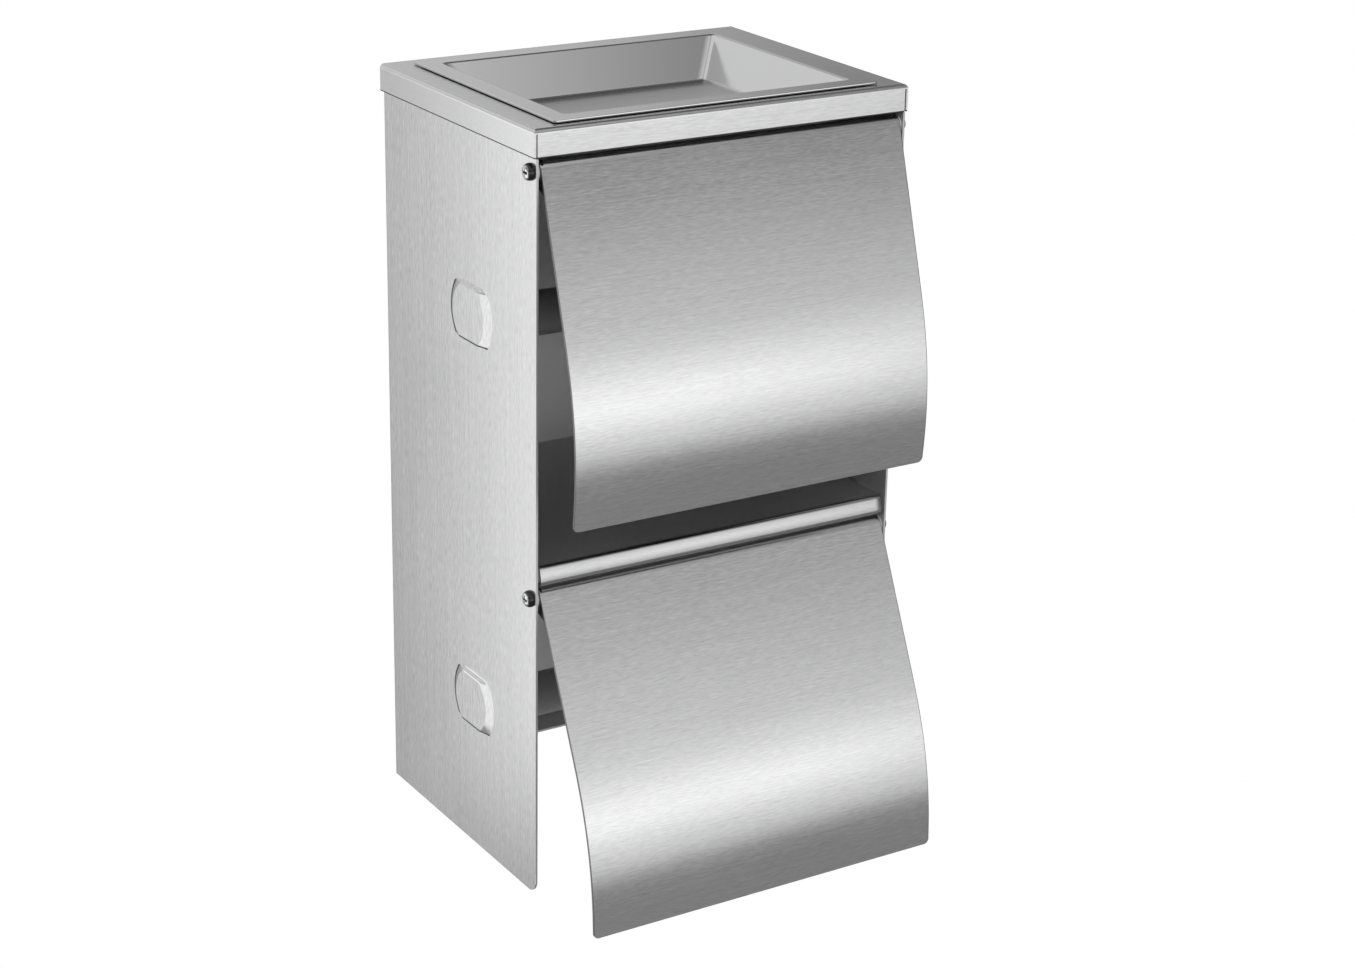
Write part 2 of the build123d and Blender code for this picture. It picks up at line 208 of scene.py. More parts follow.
studio_light = on_card.mixed(overhead.mixed(around, top_light), grey(CARD_SHADE))
seen_directly = sky.node("LightPath", out=0)
backdrop = seen_directly.mixed(studio_light, grey(WHITE))
sky.node("OutputWorld", {}, {0: sky.node("Background", {}, {0: backdrop})})
print("world nodes:", len(world.node_tree.nodes))


# %% Lamps
def soft_box(name, place, target, size, radiance):
    """A rectangular lamp that nobody sees directly; its power is 4 times its area times its radiance."""
    lamp = bpy.data.lights.new(name, "AREA")
    lamp.shape = "RECTANGLE"
    lamp.size, lamp.size_y = size
    lamp.energy = 4 * size[0] * size[1] * radiance
    box = bpy.data.objects.new(name, lamp)
    bpy.context.collection.objects.link(box)
    box.location = place
    box.rotation_mode = "QUATERNION"
    box.rotation_quaternion = (Vector(target) - Vector(place)).to_track_quat("-Z", "Y")
    box.visible_camera = False
    print(name, round(lamp.energy, 2), "W")


soft_box("front_wide", (0.25, -1.43, -0.01), (0.25, 0.0, -0.01), (2.2, 0.92), 0.72)
soft_box("front_middle", (0.25, -1.41, 0.03), (0.25, 0.0, 0.03), (1.6, 0.44), 0.25)
soft_box("front_core", (0.4, -1.39, -0.06), (0.4, 0.0, -0.06), (1.0, 0.28), 0.3)
soft_box("left_box", (-0.5, 0.28, -0.2), (0.0, 0.28, -0.2), (0.84, 0.72), 0.95)
soft_box("right_box", (0.9, 0.3, -0.22), (0.0, 0.3, -0.22), (1.0, 0.76), 0.8)
soft_box("front_left", (-1.2, -1.05, -0.06), (0.0, -0.05, -0.06), (0.9, 0.6), 0.7)

# %% [markdown]
# ## Floor
#
# The holder hangs on a wall, so the floor is well below it. It is a plain grid, and its colour depends on who
# looks: the steel sees a grey floor, which keeps the lower reflections calm, and the camera sees a white one.

# %% Floor
FLOOR_DROP = 0.62
FLOOR_SIDE, FLOOR_FRONT, FLOOR_BACK = 6.0, -6.0, 0.5
FLOOR_GREY, FLOOR_WHITE = 0.36, 4.0


def flat_floor(z, x_reach, y_from, y_to):
    """A rectangle on a grid: x runs from -x_reach to x_reach, y from y_from to y_to, and z stays."""
    x, y = np.meshgrid(np.linspace(-x_reach, x_reach, 9), np.linspace(y_from, y_to, 9), indexing="ij")
    return np.stack([x, y, np.full_like(x, z)], -1)


def grid_quads(rows, cols, wrap=False):
    """Index quads of a grid of points, row by row; with wrap, the last column joins the first."""
    index = np.arange(rows * cols).reshape(rows, cols)
    if wrap:
        index = np.concatenate([index, index[:, :1]], 1)
    corners = [index[:-1, :-1], index[1:, :-1], index[1:, 1:], index[:-1, 1:]]
    return np.stack(corners, -1).reshape(-1, 4)


floor_points = flat_floor(-FLOOR_DROP, FLOOR_SIDE, FLOOR_FRONT, FLOOR_BACK)
floor_mesh = bpy.data.meshes.new("floor")
floor_mesh.from_pydata(floor_points.reshape(-1, 3), [], grid_quads(*floor_points.shape[:2]))
floor = bpy.data.objects.new("floor", floor_mesh)
bpy.context.collection.objects.link(floor)

floor_paint = bpy.data.materials.new("pale_floor")
floor_paint.use_nodes = True
floor_paint.node_tree.nodes.clear()
paint = Wire(floor_paint.node_tree)
seen = paint.node("LightPath", out=0)
floor_colour = seen.mixed(grey(FLOOR_GREY), grey(FLOOR_WHITE))
paint.node("OutputMaterial", {}, {0: paint.node("BsdfDiffuse", {}, {"Color": floor_colour})})
floor_mesh.materials.append(floor_paint)
print("floor", FLOOR_DROP, "m below the wall screws")

# %% [markdown]
# ## Brushed steel
#
# The sheets were brushed before they were folded, so each carries fine scratches in one direction: upright on
# the cabinet, level on the flaps. A noise pattern pulled long in that direction gives the scratches; a photo
# of steel would do it too, but it would repeat and stretch over the bends. The scratches vary the colour and
# the roughness a little and, as a bump, spread reflections across themselves. Wide soft smudges, as hands
# leave them, vary the roughness once more.

# %% Brushed steel
STEEL, COLD = 0.56, 0.004
FINE, LONG, STRAND, SMUDGE = 2500.0, 280.0, 20.0, 18.0
HAIR_SHARE = 0.75
STREAK_GLOSS, SMUDGE_GLOSS = 0.08, 0.04
GROOVE = 0.002 * MM
# The near black below is mixed in as painted shade where a darkening mask says so, and roughens the steel there
# a little.
DARK_TONE, DARK_GLOSS = 0.05, 0.1
PALE, PALE_SHARE, DULL = 0.72, 0.8, 0.6


def new_finish(name):
    finish = bpy.data.materials.new(name)
    finish.use_nodes = True
    finish.node_tree.nodes.clear()
    return finish, Wire(finish.node_tree)


def pulled_noise(start, waves):
    """Noise on Object coordinates, each axis multiplied by its own waves per metre."""
    place = start.node("TexCoord", out=3)
    pulled = start.node("VectorMath", {"operation": "MULTIPLY"}, {0: place, 1: waves})
    return start.node("TexNoise", {}, {"Vector": pulled, "Scale": 1.0, "Detail": 1.5, "Roughness": 0.5})


def brushed(name, along=None, tone=STEEL, rough=0.23, contrast=0.1, darkened=None, dull=None):
    """Steel scratched along one axis, or evenly where there is none: short hairlines and long faint strands
    for colour, roughness and bump, and smudges for roughness. It is darkened where its darkening mask is
    above 0, which is painted shade at the pockets, the skirt and the flap rims, and unpolished where it is
    dull."""
    finish, start = new_finish(name)
    hair_waves, strand_waves = np.full(3, FINE), np.full(3, FINE / 2)
    if along is not None:
        hair_waves[along], strand_waves[along] = LONG, STRAND
    hairs = pulled_noise(start, hair_waves)
    strands = pulled_noise(start, strand_waves)
    smudges = pulled_noise(start, np.full(3, SMUDGE))
    streak = hairs * HAIR_SHARE + strands * (1 - HAIR_SHARE)
    colour = streak.mixed(grey(tone * (1 - contrast)), grey(tone * (1 + contrast), COLD))
    ridges = start.node("Bump", {}, {"Strength": 1.0, "Distance": GROOVE, "Height": hairs})
    smoothest = rough - (STREAK_GLOSS + SMUDGE_GLOSS) / 2
    gloss = smoothest + streak * STREAK_GLOSS + smudges * SMUDGE_GLOSS
    place = start.node("TexCoord", out=3)
    x, y, z = [start.node("SeparateXYZ", {}, {0: place}, out=axis) for axis in range(3)]
    # Painted shade at creases and rims: the mask mixes the colour towards near black and roughens it.
    if darkened:
        darkening = darkened(x, y, z)
        colour, gloss = darkening.mixed(colour, grey(DARK_TONE)), gloss + darkening * DARK_GLOSS
    if dull:
        plain = dull(x, y, z)
        colour, gloss = (plain * PALE_SHARE).mixed(colour, grey(PALE)), gloss + plain * (DULL - rough)
    shader = start.node("BsdfPrincipled", {}, {
        "Base Color": colour, "Metallic": 1.0, "Roughness": gloss, "Normal": ridges})
    start.node("OutputMaterial", {}, {0: shader})
    return finish


print("scratches", round(1000 / FINE, 2), "mm wide and", round(1000 / LONG, 1), "mm long")

# %% [markdown]
# ## Where the steel is dark or dull
#
# Not every part of a sheet shines. The creases round a pocket, the foot of the cover's skirt and the flaps'
# side rims are darkened with painted shade, and the screw heads are darker round their outer ring; nobody
# polished the faces inside the cabinet, and wiping has dulled the ashtray. Each of these places is a mask: a
# value from 0 to 1 that is worked out from the place on the object, with a soft step at its border, so
# nothing has to be painted by hand.

# %% Masks
PANEL_FACE, CABINET_FRONT = 74.0 * MM, -113.0 * MM
POCKET_Y, POCKET_MIDDLE, POCKET_APART = -67.0 * MM, -28.5 * MM, 73.5 * MM
POCKET_RADIUS, SHOULDER = 15.0 * MM, 9.6 * MM
SKIRT_LOW = 110.6 * MM
FLAP_HALF, FLAP_SHADE_SHARE = 72.2 * MM, 0.8
LIP_FRONT = -112.6 * MM
TRAY_MIDDLE, TRAY_FLOOR, TRAY_FLOOR_HALF = -57.5 * MM, 106.5 * MM, 34.0 * MM


# Painted shade: dark lines along the pockets' rear arcs and lower shoulders, where contact shadow falls.
def pocket_painted_shade(x, y, z):
    """Painted shade along the rear arc and the lower shoulder of the pressed pockets; one formula serves both
    heights, because it measures from the height halfway between them."""
    along, above = y - POCKET_Y, (z - POCKET_MIDDLE).size() - POCKET_APART
    above = above * z.maths("SIGN", z - POCKET_MIDDLE)
    from_middle = z.maths("SQRT", along * along + above * above)
    arc = (from_middle - POCKET_RADIUS).size().smooth(0.75 * MM, 0.4 * MM) * along.smooth(0, 4 * MM)
    shoulder = (above + (SHOULDER - 0.2 * MM)).size().smooth(0.5 * MM, 0.25 * MM)
    in_pocket = from_middle.smooth(POCKET_RADIUS + 0.2 * MM, POCKET_RADIUS - 0.2 * MM)
    between = above.size().smooth(SHOULDER + 0.3 * MM, SHOULDER - 0.1 * MM)
    return arc * between + shoulder * in_pocket


# Painted shade: a dark line along the foot of the cover's skirt, where a shadow line falls.
def skirt_painted_shade(x, y, z):
    return z.smooth(SKIRT_LOW + 0.2 * MM, SKIRT_LOW)


# Painted shade on the flaps' side rims and the ears' outer faces, which sit in shade beside the side panels.
def flap_rim_painted_shade(x, y, z):
    return x.size().smooth(FLAP_HALF - 0.3 * MM, FLAP_HALF - 0.1 * MM) * FLAP_SHADE_SHARE


# Darker round the outer ring of each screw head, low against the panel.
def screw_side(x, y, z):
    return x.size().smooth(PANEL_FACE + 2.1 * MM, PANEL_FACE + 1.6 * MM)


def cabinet_inside(x, y, z):
    """What nobody polished: the faces within the middle of the side and back sheets, and the sheared front
    edges."""
    inside = x.size().smooth(PANEL_FACE - 0.3 * MM, PANEL_FACE - 0.5 * MM) * y.smooth(-0.3 * MM, -0.5 * MM)
    return inside.maths("MAXIMUM", inside, y.smooth(CABINET_FRONT + 0.3 * MM, CABINET_FRONT + 0.1 * MM))


def shelf_floor(x, y, z):
    return y.smooth(LIP_FRONT + 1.1 * MM, LIP_FRONT + 2.6 * MM)


def tray_floor(x, y, z):
    """The ashtray's floor, less a soft border in front and behind."""
    from_edge = TRAY_FLOOR_HALF - (y - TRAY_MIDDLE).size()
    return z.smooth(TRAY_FLOOR + 0.9 * MM, TRAY_FLOOR + 0.4 * MM) * from_edge.smooth(0, 10 * MM)


# %% Steel finishes
LEVEL, UPRIGHT = 0, 2
finishes = {
    "cabinet_steel": brushed("cabinet_steel", UPRIGHT, contrast=0.34,
                             darkened=pocket_painted_shade, dull=cabinet_inside),
    "cover_steel": brushed("cover_steel", LEVEL, contrast=0.24, darkened=skirt_painted_shade),
    "flap_steel": brushed("flap_steel", LEVEL, contrast=0.26, darkened=flap_rim_painted_shade),
    "shelf_steel": brushed("shelf_steel", LEVEL, tone=0.42, contrast=0.15, rough=0.2, dull=shelf_floor),
    "tray_steel": brushed("tray_steel", rough=0.15, contrast=0.06, dull=tray_floor),
    "screw_steel": brushed("screw_steel", rough=0.16, darkened=screw_side),
    "nut_steel": brushed("nut_steel", rough=0.25),
    "spring_steel": brushed("spring_steel", rough=0.2),
}
print("steel finishes:", ", ".join(finishes))

# %% [markdown]
# ## Plastic
#
# The spindles and washers are moulded. Their surface is an even colour with a faint grain from the mould, so
# a fine round noise is enough: it moves the colour by a few per cent and the bump by hundredths of a
# millimetre.

# %% Plastic finishes
GRAIN_COLOUR, GRAIN_GLOSS, GRAIN_DEPTH = 0.1, 0.1, 0.02 * MM


def moulded(name, tone, rough):
    """Plastic with a faint moulded grain in colour, roughness and bump."""
    finish, start = new_finish(name)
    grain = pulled_noise(start, np.full(3, FINE))
    colour = grain.mixed(grey(tone * (1 - GRAIN_COLOUR)), grey(tone * (1 + GRAIN_COLOUR)))
    ridges = start.node("Bump", {}, {"Strength": 0.4, "Distance": GRAIN_DEPTH, "Height": grain})
    gloss = rough - GRAIN_GLOSS / 2 + grain * GRAIN_GLOSS
    shader = start.node("BsdfPrincipled", {}, {"Base Color": colour, "Roughness": gloss, "Normal": ridges})
    start.node("OutputMaterial", {}, {0: shader})
    return finish


finishes["spindle_plastic"] = moulded("spindle_plastic", 0.36, 0.4)
finishes["washer_plastic"] = moulded("washer_plastic", 0.75, 0.45)

# %% [markdown]
# ## Finishes on the CAD pieces
#
# Each CAD piece comes with a slot that is named for its finish. Putting the new material into that slot is
# enough, and the pieces that this lesson doesn't make again, such as the cabinet, the cover, the spindles and
# the nuts, are then ready.

# %% Give every CAD node its finish
for node in nodes.values():
    for slot in node.material_slots:
        slot.material = finishes[slot.material.name.split(".")[0]]
print("finishes:", len(finishes))

# %% [markdown]
# ## Sheets in place of CAD meshes
#
# A CAD mesh has knife-sharp rims, and a sheared steel edge never has: it catches a thin line of light. So the
# pieces that show most are made again as surfaces of no thickness, from the same sizes. A Solidify modifier
# then gives them their sheet and a Bevel breaks the rims, which is easier than modelling both faces and every
# rim by hand.

# %% A piece from a surface
SHEET, RIM = 0.8 * MM, 0.12 * MM


def dress(name, points, faces, body, slot, replaced, sheet=None, broken=None):
    """Puts points and faces into a mesh that stands for CAD nodes or is added to them; sheet is its thickness
    and side, and broken is the width of its broken rims."""
    mesh = bpy.data.meshes.new(name)
    mesh.from_pydata(points.reshape(-1, 3), [], faces)
    mesh.polygons.foreach_set("use_smooth", np.ones(len(mesh.polygons), bool))
    mesh.materials.append(finishes[slot])
    piece = bpy.data.objects.new(name, mesh)
    bpy.context.collection.objects.link(piece)
    if body:
        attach(piece, body)
    if replaced:
        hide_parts(*replaced)
    if sheet:
        thicken = piece.modifiers.new("sheet", "SOLIDIFY")
        thicken.thickness, thicken.offset = sheet
        thicken.use_even_offset = True
    if broken:
        rims = piece.modifiers.new("broken_rims", "BEVEL")
        rims.width, rims.segments = broken, 2
        rims.limit_method, rims.angle_limit = "ANGLE", np.radians(50)
    print(name, len(mesh.vertices), "points")
    return piece


# %% [markdown]
# ## Flaps
#
# A flap starts as a flat blank. Its top edge is rolled back round the hinge, so the gap above it stays the
# same however far it is open, and a gentle curve is pressed into its lower half; two ears bent back at the
# sides carry the pivots. Its profile is best told by curvature: a lot in the roll, none on the flat, a little
# in the curve, coming in slowly so that no line shows where it starts. Adding up curvature gives the heading,
# and adding up headings gives the place, which keeps the sheet's true length.

# %% Flap profile
ROLL_RADIUS = 3.7 * MM
ROLL_BACK = np.radians(20)
FLAT_LENGTH = 62.0 * MM
CURVE_RADIUS = 139.6 * MM
CURVE_TURN = np.radians(22)
TAIL = 7.0 * MM
EASE = 9.0 * MM
STEP = 0.01 * MM
roll_end = ROLL_RADIUS * (np.pi / 2 + ROLL_BACK)
curve_start = roll_end + FLAT_LENGTH
curve_end = curve_start + CURVE_RADIUS * CURVE_TURN
flap_end = curve_end + TAIL


def bent_sheet(run, stops, curvature, heading=0.0):
    """Forward and down at each run along a sheet: curvature, straight between its stops, summed to a heading,
    and the heading's cosines and sines summed to a place."""
    fine = np.arange(0.0, run.max() + 2 * STEP, STEP)
    heading = heading + np.cumsum(np.interp(fine, stops, curvature)) * STEP
    forward, down = np.cumsum(np.cos(heading)) * STEP, np.cumsum(np.sin(heading)) * STEP
    return np.interp(run, fine, forward), np.interp(run, fine, down)


def flap_profile(run):
    """Forward and up from the hinge: the roll goes round it, from behind its top to the front."""
    tight, gentle = 1 / ROLL_RADIUS, 1 / CURVE_RADIUS
    stops = [roll_end - STEP, roll_end + STEP, curve_start - EASE, curve_start + EASE,
             curve_end - EASE / 2, curve_end + EASE / 2]
    forward, down = bent_sheet(run, stops, [tight, 0, 0, gentle, gentle, 0], -ROLL_BACK)
    return forward - ROLL_RADIUS * np.sin(ROLL_BACK), ROLL_RADIUS * np.cos(ROLL_BACK) - down


print("flap sheet", round(flap_end / MM, 1), "mm long")

# %% Flap sheets
NOTCH = 1.4 * MM
CORNER = 2.0 * MM
NEAR = 0.3 * MM
FLAP_RIM = 0.15 * MM


def place_on_hinge(forward, upward, x, hinge):
    """Points in the cabinet: the profile's plane is turned open about the hinge axis, which runs along x."""
    opening = np.radians(-hinge["range_deg"][0])
    _, hinge_y, hinge_z = hinge["pos_m"]
    y = hinge_y - np.cos(opening) * forward + np.sin(opening) * upward
    z = hinge_z + np.sin(opening) * forward + np.cos(opening) * upward
    return np.stack([x, y, z], -1)


def rounded_in(past, radius):
    """How far a corner of this radius draws the rim in, past the point where it starts to turn."""
    return radius - np.sqrt(radius ** 2 - np.clip(past, 0, radius) ** 2)


def flap_surface(hinge):
    """A grid of runs along the sheet and places across it. The roll is notched beside the ears and the tail's
    corners are round: both draw the width in along a circle."""
    to_corner = 1 - np.sin(np.linspace(0, np.pi / 2, 12))
    run = np.concatenate([
        np.linspace(0, roll_end - NOTCH, 24)[:-1],
        roll_end - NOTCH * np.sin(np.linspace(np.pi / 2, 0, 12))[:-1],
        np.linspace(roll_end, curve_start - EASE, 10)[:-1],
        np.linspace(curve_start - EASE, curve_end + EASE / 2, 60)[:-1], flap_end - CORNER * to_corner])
    run = np.sort(np.append(run, [NEAR, roll_end + NEAR]))
    column = np.concatenate([[0], np.linspace(NEAR, 2 * FLAP_HALF - NEAR, 32), [2 * FLAP_HALF]]) - FLAP_HALF
    s, w = np.meshgrid(run, column, indexing="ij")
    forward, upward = flap_profile(s)
    drawn_in = rounded_in(roll_end - s, NOTCH) + rounded_in(s - flap_end + CORNER, CORNER)
    return place_on_hinge(forward, upward, w * (1 - drawn_in / FLAP_HALF), hinge), grid_quads(*s.shape)


EAR_RADIUS = 3.9 * MM
EAR_HOLE = 1.55 * MM
EAR_LENGTH = 9.0 * MM
EAR_INSET = 0.52 * SHEET
EAR_RINGS = np.array([0.0, 0.1, 0.4, 0.7, 0.93, 1.0])


def ear_surface(hinge, side):
    """Rings from the pivot hole out to the ear's outline: a circle, a tangent to it and the flap's face."""
    low = np.array([ROLL_RADIUS, -EAR_LENGTH])
    lean = np.arctan2(low[1], low[0]) - np.arccos(EAR_RADIUS / np.hypot(*low))
    turn = np.linspace(-np.arccos(ROLL_RADIUS / EAR_RADIUS), lean + 2 * np.pi, 48)
    arc = EAR_RADIUS * np.stack([np.cos(turn), np.sin(turn)], -1)
    ends = [np.linspace(a, b, 14)[1:-1] for a, b in ((arc[-1], low), (low, arc[0]))]
    outline = np.concatenate([arc, ends[0], [low], ends[1]])
    hole = EAR_HOLE * outline / np.linalg.norm(outline, axis=1, keepdims=True)
    forward, upward = np.moveaxis(hole + (outline - hole) * EAR_RINGS[:, None, None], -1, 0)
    quads = grid_quads(*forward.shape, wrap=True)
    x = np.full_like(forward, side * (FLAP_HALF - EAR_INSET))
    return place_on_hinge(forward, upward, x, hinge), quads if side > 0 else quads[:, ::-1]


hinges = {joint["child"]: joint for joint in frame["joints"] if joint["child"].endswith("_flap")}
for name, hinge in hinges.items():
    parts = [flap_surface(hinge), ear_surface(hinge, -1), ear_surface(hinge, 1)]
    first = np.cumsum([0] + [len(points.reshape(-1, 3)) for points, quads in parts])
    points = np.concatenate([points.reshape(-1, 3) for points, quads in parts])
    quads = np.concatenate([quads + start for (_, quads), start in zip(parts, first)])
    dress(name + "_sheet", points, quads, name, "flap_steel", [name], sheet=(SHEET, 0.0), broken=FLAP_RIM)

# %% [markdown]
# ## Ashtray
#
# The tray is pressed from one blank: a flat flange that lies on the cover, then walls that lean in to a flat
# floor, with soft bends between them. Seen from above it is a rounded rectangle at every height, so the
# profile from the flange's rim to the floor is carried round that rectangle.

# %% Tray surface
TRAY_TOP = 121.1 * MM
TRAY_HALF = np.array([65.0, 51.5]) * MM
FLANGE = np.array([8.0, 7.5]) * MM
BOWL_DROP = TRAY_TOP - TRAY_FLOOR
BOWL_INSET = TRAY_HALF[1] - FLANGE[1] - TRAY_FLOOR_HALF
BEND = 1.4 * MM
TRAY_CORNER = 1.5 * MM
ALONG = np.array([0.02, 0.1, 0.3, 0.5, 0.7, 0.9, 0.98])


def bent_line(corners, radius, steps=9):
    """A line with its inner corners replaced by arcs, as a press leaves them, and points along its
    straights."""
    ends = [corners[:1]]
    for before, corner, after in zip(corners, corners[1:], corners[2:]):
        back, on = [(p - corner) / np.linalg.norm(p - corner) for p in (before, after)]
        half = np.arccos(np.clip(back @ on, -1, 1)) / 2
        centre = corner + (back + on) / np.linalg.norm(back + on) * radius / np.sin(half)
        start, stop = [corner + way * radius / np.tan(half) - centre for way in (back, on)]
        chord = start + (stop - start) * np.linspace(0, 1, steps)[:, None]
        ends.append(centre + chord * radius / np.linalg.norm(chord, axis=1, keepdims=True))
    ends.append(corners[-1:])
    straights = [a[-1] + (b[0] - a[-1]) * ALONG[:, None] for a, b in zip(ends, ends[1:])]
    return np.concatenate([points for pair in zip(ends, straights) for points in pair] + ends[-1:])


def tray_surface():
    """Rounded rectangles, one for each point of the profile: half sizes less the inset, at the profile's
    height."""
    flange, inset = FLANGE[0], BOWL_INSET
    corners = np.array([[0, 0], [flange, 0], [flange + inset, -BOWL_DROP], [flange + 3 * inset, -BOWL_DROP]])
    inward, down = np.moveaxis(bent_line(corners, BEND), -1, 0)[:, :, None, None]
    turn = (np.arange(4)[:, None] + np.linspace(0, 1, 7)) * np.pi / 2
    to_x, to_y = np.array([1, -1, -1, 1])[:, None], np.array([1, 1, -1, -1])[:, None]
    saved = (FLANGE[0] - FLANGE[1]) * np.clip(inward / flange, 0, 1)
    x = to_x * (TRAY_HALF[0] - inward - TRAY_CORNER) + TRAY_CORNER * np.cos(turn)
    y = to_y * (TRAY_HALF[1] - inward + saved - TRAY_CORNER) + TRAY_CORNER * np.sin(turn)
    arcs = np.stack([x, TRAY_MIDDLE + y, TRAY_TOP + down + 0 * x], -1)
    leave, reach = arcs[:, :, -1:], np.roll(arcs[:, :, :1], -1, axis=1)
    loops = np.concatenate([arcs, leave + (reach - leave) * ALONG[:, None]], 2)
    points = loops.reshape(len(loops), -1, 3)
    rows, cols = points.shape[:2]
    middle = [list(range((rows - 1) * cols, rows * cols))]
    return points, grid_quads(rows, cols, wrap=True)[:, ::-1].tolist() + middle


dress("ashtray_pressing", *tray_surface(), "ashtray", "tray_steel", ["ashtray"],
      sheet=(SHEET, -1.0), broken=RIM)

# %% [markdown]
# ## Divider shelf
#
# The floor of the upper bay is one sheet with two flanges turned down, which are welded to the side panels.
# In front it bends down into a lip that curls under, so that no hand meets a raw edge. The lip is as round as
# a die leaves it, which is what gives it one soft bright band, so its profile is told by curvature too. One
# grid holds it all: its rows run forward and round the lip, its columns run across and down the flanges,
# which end before the lip.

# %% Shelf surface
SHELF_MIDDLE = -34.3 * MM
SHELF_BACK, FLANGE_FRONT = -1.7 * MM, -95.0 * MM
FLANGE_PLACE, FLANGE_DROP, FLANGE_FOLD = 72.7 * MM, 9.6 * MM, 1.2 * MM
LIP_HALF = 72.0 * MM
LIP_ARCS = np.array([[1.2, 72], [20.6, 12], [1.3, 141]]) * [MM, np.pi / 180]
LIP_EASE = 0.15 * MM
HAIRSBREADTH = 0.0001 * MM


def shelf_surface():
    """Rows: straight along the shelf, then round the lip's bend, face and curl, as their radii and turns give
    them. Columns: up one flange, across and down the other; on the lip they stay level and within its width."""
    ends = np.cumsum(LIP_ARCS[:, 0] * LIP_ARCS[:, 1])
    stops = np.stack([ends[:2] - LIP_EASE, ends[:2] + LIP_EASE], -1).ravel()
    run = np.unique(np.concatenate([
        np.linspace(0, ends[0], 16), np.linspace(*ends[:2], 16), np.linspace(*ends[1:], 30)]))
    forward, down = bent_sheet(run, stops, np.repeat(1 / LIP_ARCS[:, 0], 2)[1:-1])
    lip_start = LIP_FRONT + forward.max()
    flat = np.concatenate([
        [SHELF_BACK], SHELF_BACK + (FLANGE_FRONT - SHELF_BACK) * np.append(ALONG, 1) - NEAR / 2,
        np.linspace(FLANGE_FRONT - NEAR, lip_start + NEAR, 6)])
    row_y = np.concatenate([flat, lip_start - forward])[:, None]
    row_z = SHELF_MIDDLE - np.concatenate([0 * flat, down])[:, None]
    corners = [[-FLANGE_PLACE, -FLANGE_DROP], [-FLANGE_PLACE, 0],
               [FLANGE_PLACE, 0], [FLANGE_PLACE, -FLANGE_DROP]]
    across, drop = bent_line(np.array(corners), FLANGE_FOLD).T
    is_flange, is_lip = drop < -HAIRSBREADTH, row_y < FLANGE_FRONT - NEAR * 0.75
    widened = across * LIP_HALF / np.abs(across[~is_flange]).max()
    x = np.where(is_lip, np.clip(widened, -LIP_HALF, LIP_HALF), across)
    points = np.stack([x, row_y + 0 * x, row_z + np.where(is_lip, 0, drop)], -1)
    quads = grid_quads(*x.shape)
    quads = quads[~(is_lip & is_flange).ravel()[quads].any(1)]
    used, index = np.unique(quads, return_inverse=True)
    return points.reshape(-1, 3)[used], index.reshape(quads.shape)


dress("divider_shelf_sheet", *shelf_surface(), "frame", "shelf_steel", ["divider_shelf"],
      sheet=(SHEET, 0.0), broken=RIM)

# %% [markdown]
# ## Pocket shoulders
#
# The pockets that hold the spindles are pressed out between two slits, and the press draws the sheet above
# the upper slit a little way out with it. That makes a soft ramp from the panel to the pocket, so no dark
# slit shows from above. It is a strip between two lines, with an S-shaped rise from one to the other.

# %% Shoulder surface
POCKET_FLOOR = 11.5 * MM
POCKET_PRESS = 1.5 * MM
SHOULDER_DRAW, SHOULDER_LAP = 1.6 * MM, 0.2 * MM
SHOULDER_SHEET = 0.3 * MM
DRAW_AT_ENDS = 0.3


def shoulder_surface(side, above_middle):
    """Along the slit and across it: the strip leaves the panel and rises to the pressed pocket's face, which
    itself ramps down to the panel at both ends of the slit."""
    half, level = np.sqrt(np.array([POCKET_RADIUS, POCKET_FLOOR]) ** 2 - SHOULDER ** 2)
    along, share = np.meshgrid(np.linspace(-half, half, 41), np.linspace(0, 1, 9), indexing="ij")
    pressed = np.clip((half - np.abs(along)) / (half - level), 0, 1)
    x = PANEL_FACE - SHOULDER_SHEET / 2 + POCKET_PRESS * pressed * share ** 2 * (3 - 2 * share)
    drawn = SHOULDER_DRAW * (DRAW_AT_ENDS + (1 - DRAW_AT_ENDS) * pressed)
    z = SHOULDER - SHOULDER_LAP + (SHOULDER_LAP + drawn) * (1 - share)
    quads = grid_quads(*x.shape)
    points = np.stack([side * x, POCKET_Y + along, POCKET_MIDDLE + above_middle + z], -1)
    return points, quads if side < 0 else quads[:, ::-1]


for bay, above_middle in (("upper", POCKET_APART), ("lower", -POCKET_APART)):
    for hand, side in (("left", -1), ("right", 1)):
        surface = shoulder_surface(side, above_middle)
        dress(f"{bay}_{hand}_pocket_shoulder", *surface, "frame", "cabinet_steel", [],
              sheet=(SHOULDER_SHEET, 0.0))

# %% [markdown]
# ## Pivot screws
#
# Four pan-head screws carry the flaps. A head is turned, so it is a profile spun round its axis, and the
# cross recess is a depth taken away where the point lies in one of two crossing slots. The slots' walls lean
# a little, as a punched recess does, so the depth falls off softly at their sides.

# %% Screw surface
HEAD_RADIUS = 3.0 * MM
HEAD_HEIGHT = 2.4 * MM
SHANK_RADIUS = 1.5 * MM
SHANK_LENGTH = 8.0 * MM
SLOT_HALF = np.array([1.6, 0.35]) * MM
SLOT_DEPTH, SLOT_TAPER, SLOT_SOFT = 1.2 * MM, 0.4, 0.05 * MM
CROWN_POWER = 3.5
TIP_SHARE, TIP_LENGTH = 0.8, 0.4 * MM
AROUND = 96


def in_slot(u, v):
    """1 inside a slot that is long in u and narrow in v, 0 outside, with soft sides."""
    past = [np.clip((np.abs(w) - half) / SLOT_SOFT, -40, 40) for w, half in zip((u, v), SLOT_HALF)]
    return 1 / (1 + np.exp(past[0])) * (1 / (1 + np.exp(past[1])))


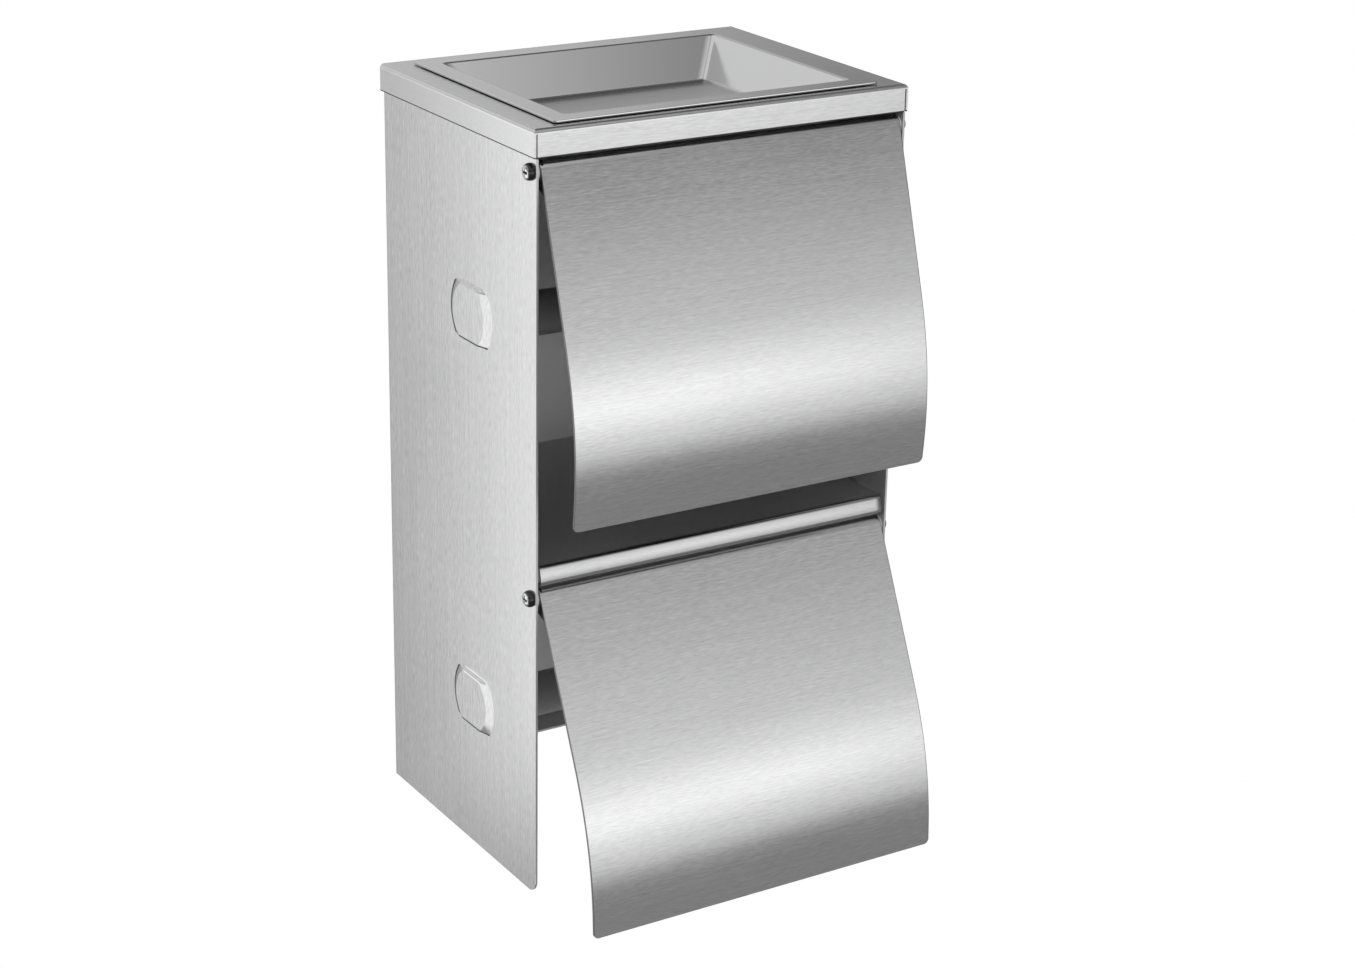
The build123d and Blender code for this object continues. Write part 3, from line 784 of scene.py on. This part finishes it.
def screw_surface(hinge, side):
    """The head is (r/R)^3.5 + (h/H)^2 = 1 spun round x, less the recess; then the underside and the shank."""
    bulge = np.sin(np.linspace(0.0005, np.pi / 2, 60))
    radius = np.concatenate([
        HEAD_RADIUS * bulge ** (2 / CROWN_POWER), np.full(6, SHANK_RADIUS), [TIP_SHARE * SHANK_RADIUS]])
    crown = HEAD_HEIGHT * np.sqrt(1 - bulge ** 2)
    height = np.concatenate([crown, [0], np.linspace(-0.2 * MM, TIP_LENGTH - SHANK_LENGTH, 5), [-SHANK_LENGTH]])
    r, turn = np.meshgrid(radius, np.linspace(0, 2 * np.pi, AROUND, endpoint=False), indexing="ij")
    u, v = r * np.cos(turn), r * np.sin(turn)
    on_head = (np.arange(len(radius)) < len(bulge))[:, None]
    recess = np.maximum(in_slot(u, v), in_slot(v, u)) * SLOT_DEPTH * (1 - SLOT_TAPER * r / SLOT_HALF[0])
    h = height[:, None] - np.where(on_head, np.clip(recess, 0, None), 0)
    _, y, z = hinge["pos_m"]
    points = np.stack([side * (PANEL_FACE + h), y + u, z + side * v], -1)
    rows, cols = r.shape
    caps = [list(range(cols))[::-1], list(range((rows - 1) * cols, rows * cols))]
    return points, grid_quads(rows, cols, wrap=True).tolist() + caps


for bay in ("upper", "lower"):
    for hand, side in (("left", -1), ("right", 1)):
        surface = screw_surface(hinges[bay + "_flap"], side)
        node = f"{bay}_{hand}_pivot_screw"
        dress(node + "_turned", *surface, "frame", "screw_steel", [node])

# %% [markdown]
# ## Spindle springs
#
# Each spindle is two tubes with a coil spring between them, which pushes its ends into the pockets. The coil
# is a circle of wire carried along a helix. One end rests in the sleeve and the other in the plunger; here
# the coil is one fixed mesh at its rest length.

# %% Spring surface
COIL_RADIUS = 4.3 * MM
WIRE_RADIUS = 0.5 * MM
COIL_TURNS = 9
COIL_FROM, COIL_TO = -68.6 * MM, 19.9 * MM


def spring_surface(centre_y, centre_z):
    """A circle of wire at each step of a helix round x, in the plane of the radius and the crossing
    direction."""
    turn = np.linspace(0, 2 * np.pi * COIL_TURNS, 40 * COIL_TURNS + 1)[:, None]
    round_wire = np.linspace(0, 2 * np.pi, 14, endpoint=False)
    climb = (COIL_TO - COIL_FROM) / (2 * np.pi * COIL_TURNS)
    lean = climb / np.hypot(climb, COIL_RADIUS)
    level = np.sqrt(1 - lean ** 2)
    out, over = WIRE_RADIUS * np.cos(round_wire), WIRE_RADIUS * np.sin(round_wire)
    x = COIL_FROM + climb * turn + level * over
    y = (COIL_RADIUS + out) * np.cos(turn) + lean * over * np.sin(turn)
    z = (COIL_RADIUS + out) * np.sin(turn) - lean * over * np.cos(turn)
    rows, cols = x.shape
    caps = [list(range(cols))[::-1], list(range((rows - 1) * cols, rows * cols))]
    quads = grid_quads(rows, cols, wrap=True).tolist()
    return np.stack([x, centre_y + y, centre_z + z], -1), quads + caps


for bay in ("upper", "lower"):
    _, spin_y, spin_z = next(joint["pos_m"] for joint in frame["joints"] if joint["child"] == bay + "_spindle")
    surface = spring_surface(spin_y, spin_z)
    coil = dress(bay + "_spring_coil", *surface, None, "spring_steel", [bay + "_spindle_spring"])
    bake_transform(coil)
